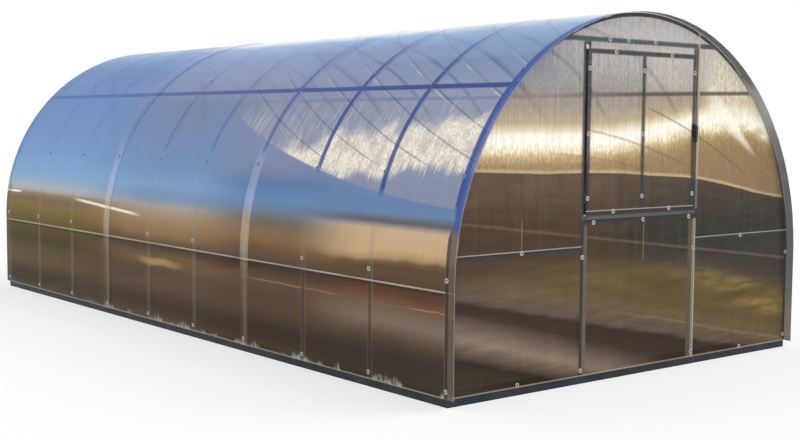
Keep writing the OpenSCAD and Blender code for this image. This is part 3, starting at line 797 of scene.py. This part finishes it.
solid = fade(tree, over_crest, 0.25, 0.50, 0.95, 0.84)
solid = most(fade(tree, over_crest, 0.0, 0.2, 0.985, 0.0), solid)
solid = most(solid, times(near_tubes, 0.95), times(far_purlin, 0.9))
hidden = most(fade(tree, plus(radius, times(x, 0.013)), 1.472, 1.480), tube_lines(0.021, 0.2, 0.011),
              far_purlin)
light_behind = times(fade(tree, over_crest, 0.1, 0.5), minus(1.0, hidden), 0.55)
look = use_group(tree, over_light, scaled(tree, colour, 1.03), solid, light_behind)[0]
inner_haze = mixed(tree, in_glow, colour, rgb("a8a298"))
finish_sheet(look, inner_haze, solid, fade(tree, over_crest, -0.2, 0.2, 0.75, 0.4))
dress([n for n in nodes if n.endswith("_sheet")], gable_sheet)

# %% [markdown]
# Every sheet is held by short screws, each with a clear plastic washer that spreads the load.
# The washer is a disc with a rounded rim and a hollow for the head, so it starts as a cylinder.
# The screw has a round head with a pocket for the driver, and a shank that reaches into the tube behind.
# Each is modelled once, with the face of the sheet at z = 0 and its head up.
# It is then copied to all its places.

# %% Helpers for turned pieces
def bare_disc(name, radius, thickness, sides, z=0.0):
    """A short cylinder with its foot at z, open in edit mode."""
    bpy.ops.object.select_all(action="DESELECT")
    bpy.ops.mesh.primitive_cylinder_add(vertices=sides, radius=radius, depth=thickness,
                                        location=(0, 0, z + thickness / 2))
    bpy.ops.object.transform_apply(location=True)
    disc = bpy.context.object
    disc.name = name
    bpy.ops.object.mode_set(mode="EDIT")
    return disc


def pick_end(disc, up):
    """Selects the face at one end of a disc: of those that look up or down, the one in the middle."""
    bpy.ops.mesh.select_mode(type="FACE")
    bpy.ops.mesh.select_all(action="DESELECT")
    mesh = bmesh.from_edit_mesh(disc.data)
    for face in mesh.faces:
        face.select_set(face.normal.z * up > 0.9 and face.calc_center_median().xy.length < 1e-5)
    bmesh.update_edit_mesh(disc.data)


def draw_out(z):
    """Extrudes what is selected along z."""
    bpy.ops.mesh.extrude_region_move(TRANSFORM_OT_translate={"value": (0, 0, z)})


print("turned pieces: bare_disc, pick_end and draw_out are ready")

# %% Washer and screw
WASHER_R, WASHER_T = 0.014, 0.0034
HOLLOW_DEPTH = 0.0016
HEAD_R, HEAD_T, HEAD_FOOT = 0.0056, 0.0028, 0.0018
POCKET_DEPTH, SHANK = 0.0014, 0.0150

washer = bare_disc("washer", WASHER_R, WASHER_T, 14)
pick_end(washer, 1)
bpy.ops.mesh.bevel(offset=0.0014, segments=2, affect="EDGES")
pick_end(washer, 1)
bpy.ops.mesh.inset(thickness=0.0050)
draw_out(-HOLLOW_DEPTH)
bpy.ops.object.mode_set(mode="OBJECT")

screw = bare_disc("screw", HEAD_R, HEAD_T, 12, HEAD_FOOT)
pick_end(screw, 1)
bpy.ops.mesh.bevel(offset=0.0011, segments=1, affect="EDGES")
pick_end(screw, 1)
bpy.ops.mesh.inset(thickness=0.0022)
draw_out(-POCKET_DEPTH)
pick_end(screw, -1)
bpy.ops.mesh.inset(thickness=0.0034)
draw_out(-SHANK)
bpy.ops.object.mode_set(mode="OBJECT")
print("faces of a washer and a screw:", len(washer.data.polygons), len(screw.data.polygons))

# %% [markdown]
# The washers are moulded from clear plastic that has gone a little milky.
# A reflection of the sky is painted on them high on the cover.
# The screws are plated with zinc, which is dull and slightly mottled.

# %% Washer plastic and zinc plate
washer_plastic, tree, shader = new_material("washer_plastic")
here = vector(tree, *place(tree))
milk = noise(tree, here, 90.0, 3.0)
x, y, z = place(tree)
# The washers high on the cover get a painted reflection of the sky.
painted_sky = times(fade(tree, z, 0.85, 1.0), fall(calc(tree, "ABSOLUTE", y), 3.002, 3.005))
clear = mixed(tree, fade(tree, milk, 0.35, 0.65), rgb("a9a49e"), rgb("cac0b2"))
feed(tree, shader.inputs["Base Color"], mixed(tree, painted_sky, clear, rgb("768ab6")))
feed(tree, shader.inputs["Roughness"], fade(tree, milk, 0.3, 0.7, 0.2, 0.35))
add_bump(tree, shader, milk, 0.1, 0.0004)

zinc_plate, tree, shader = new_material("zinc_plate")
here = vector(tree, *place(tree))
mottle = noise(tree, here, 350.0, 3.0)
mottled = fade(tree, mottle, 0.35, 0.65)
feed(tree, shader.inputs["Base Color"], mixed(tree, mottled, rgb("4a4d52"), rgb("74777b")))
feed(tree, shader.inputs["Roughness"], fade(tree, mottle, 0.3, 0.7, 0.35, 0.55))
shader.inputs["Metallic"].default_value = 0.8
add_bump(tree, shader, mottle, 0.1, 0.0002)
print("finishes:", washer_plastic.name, zinc_plate.name)

# %% [markdown]
# A place is a point and the way out from the surface there.
# On the cover the screws go into every arch, at four heights on each side.
# Where two sheets lap they sit one sheet further out.
# On a gable they are laid out as seen when one faces it, so the rear ones turn with it.

# %% Places of the sheet screws
COVER_R = 1.5043
LAPPED_R = 1.5086
LAP_MIDDLE = 1.0025
LAP_HALF = 0.0475
GABLE_FACE = 3.0043
LEAF_FACE = 3.0086
arch_ys = [FIRST_ARCH + i * ARCH_PITCH for i in range(10)]


def on_arch_line(side, y, girth, radius):
    """A place over an arch, at a length along it from the ground."""
    turn = max(girth - SPRING, 0) / ARCH_R
    out = Vector((side * math.cos(turn), 0, math.sin(turn)))
    return Vector((0, y, min(girth, SPRING))) + radius * out, out


def on_gable(end, spots, face):
    """Places on a gable, end -1 at the front and 1 at the rear, from pairs of across and height."""
    return [(Vector((-end * x, end * face, z)), Vector((0, end, 0))) for x, z in spots]


screw_girths = [0.085, 0.670] + [SPRING + ARCH_R * math.radians(a) for a in (22.5, 50)]
cover_spots = []
for y in arch_ys:
    radius = LAPPED_R if abs(abs(y) - LAP_MIDDLE) < LAP_HALF else COVER_R
    cover_spots += [on_arch_line(side, y, girth, radius) for side in (-1, 1) for girth in screw_girths]

SILL_SCREW_Z, TIE_SCREW_Z = 0.925, 1.970
edge_spots = [(side * x, z) for side in (-1, 1)
             for x, z in ((1.0, 0.058), (0.98, RAIL_Z), (1.484, 0.087), (1.484, 0.645))]
tie_spots = [(x, TIE_SCREW_Z) for x in (-0.30, -0.14, 0.10)]
front_spots = edge_spots + tie_spots + [(side * POST_X, z) for side in (-1, 1) for z in (0.078, 0.73)]
front_spots += [(x, SILL_SCREW_Z) for x in (-0.41, 0.02, 0.45)]
rear_spots = edge_spots + tie_spots + [(-POST_X, 0.078), (-POST_X, 0.73)]
vent_spots = [(x, z) for x in (-STILE_X, 0, STILE_X) for z in (1.065, 1.80)] + [(-STILE_X, 1.43), (0, 1.43)]
vent_spots += [(side * 0.25, z) for side in (-1, 1) for z in (0.984, LEAF_HEAD_Z)]
door_spots = [(side * STILE_X, z) for side in (-1, 1) for z in (0.30, 0.75, 1.45, 1.80)]
door_spots += [(side * 0.25, z) for side in (-1, 1) for z in (0.082, LEAF_FOOT_Z, LEAF_HEAD_Z)]
print("screws on the cover", len(cover_spots), "and on the front gable", len(front_spots) + len(vent_spots))

# %% [markdown]
# Inside, each crushed tube end is screwed to the tube it lies on, and the base lengths are plated together.
# These screws have no washer, and their heads look into the house.

# %% Places of the frame screws
TAB_FACE = 2.9767
LEAF_TAB_FACE = 2.981
END_ARCH_DEPTH, ARCH_DEPTH = 0.0233, 0.0266
PURLIN_GIRTHS = (0.596, SPRING + ARCH_R * math.radians(45.2))
SPLICE_X, SPLICE_Z = 1.457, 0.03

frame_spots = []
for y in arch_ys:
    depth = END_ARCH_DEPTH if abs(y) > 2.9 else ARCH_DEPTH
    for side in (-1, 1):
        for girth in PURLIN_GIRTHS:
            at, out = on_arch_line(side, y, girth, ARCH_R - depth)
            frame_spots.append((at, -out))
tab_spots = [(side * x, z) for side in (-1, 1)
             for x, z in ((POST_X, TIE_Z), (0.643, 1.976), (POST_X, RAIL_Z), (1.481, RAIL_Z))]
leaf_tabs = [(side * STILE_X, 1.8965) for side in (-1, 1)]
sill_tabs = [(-POST_X, SILL_Z), (POST_X, SILL_Z)]
vent_tabs = [(-STILE_X, 0.9835), (0, 0.9835), (STILE_X, 0.9835), (0, 1.8965)]
door_tabs = [(-STILE_X, 0.0835), (STILE_X, 0.0835), (-0.4685, LEAF_FOOT_Z), (0.4685, LEAF_FOOT_Z)]
for end, more, leaf in ((-1, sill_tabs, vent_tabs), (1, [], door_tabs)):
    for spots, face in ((tab_spots + more, TAB_FACE), (leaf_tabs + leaf, LEAF_TAB_FACE)):
        frame_spots += [(at, -out) for at, out in on_gable(end, spots, face)]
for side in (-1, 1):
    for joint in (-LAP_MIDDLE, LAP_MIDDLE):
        for off in (-0.06, -0.03, 0.03, 0.06):
            at = Vector((side * SPLICE_X, joint + off, SPLICE_Z))
            frame_spots.append((at, Vector((-side, 0, 0))))
print("screws in the frame", len(frame_spots))

# %% Copy the washers and the screws to their places
def lay_out(name, model, places, material):
    """Copies a model to each place, every copy with a mesh of its own, and joins them into one piece."""
    copies = []
    for at, out in places:
        copy = model.copy()
        copy.data = model.data.copy()
        copy.data.transform(Matrix.Translation(at) @ out.to_track_quat("Z", "Y").to_matrix().to_4x4())
        bpy.context.scene.collection.objects.link(copy)
        copies.append(copy)
    bpy.ops.object.select_all(action="DESELECT")
    for copy in copies:
        copy.select_set(True)
    piece = bpy.context.view_layer.objects.active = copies[0]
    bpy.ops.object.join()
    piece.name = piece.data.name = name
    piece.data.materials.append(material)
    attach(piece, "root")
    print(name, len(places), "copies,", len(piece.data.polygons), "faces")


for part, places in (("cover", cover_spots), ("front", on_gable(-1, front_spots, GABLE_FACE)),
                     ("vent", on_gable(-1, vent_spots, LEAF_FACE)),
                     ("rear", on_gable(1, rear_spots, GABLE_FACE)),
                     ("door", on_gable(1, door_spots, LEAF_FACE))):
    lay_out(part + "_washers", washer, places, washer_plastic)
    lay_out(part + "_screws", screw, places, zinc_plate)
lay_out("frame_screws", screw, frame_spots, zinc_plate)
for model in (washer, screw):
    bpy.data.meshes.remove(model.data)
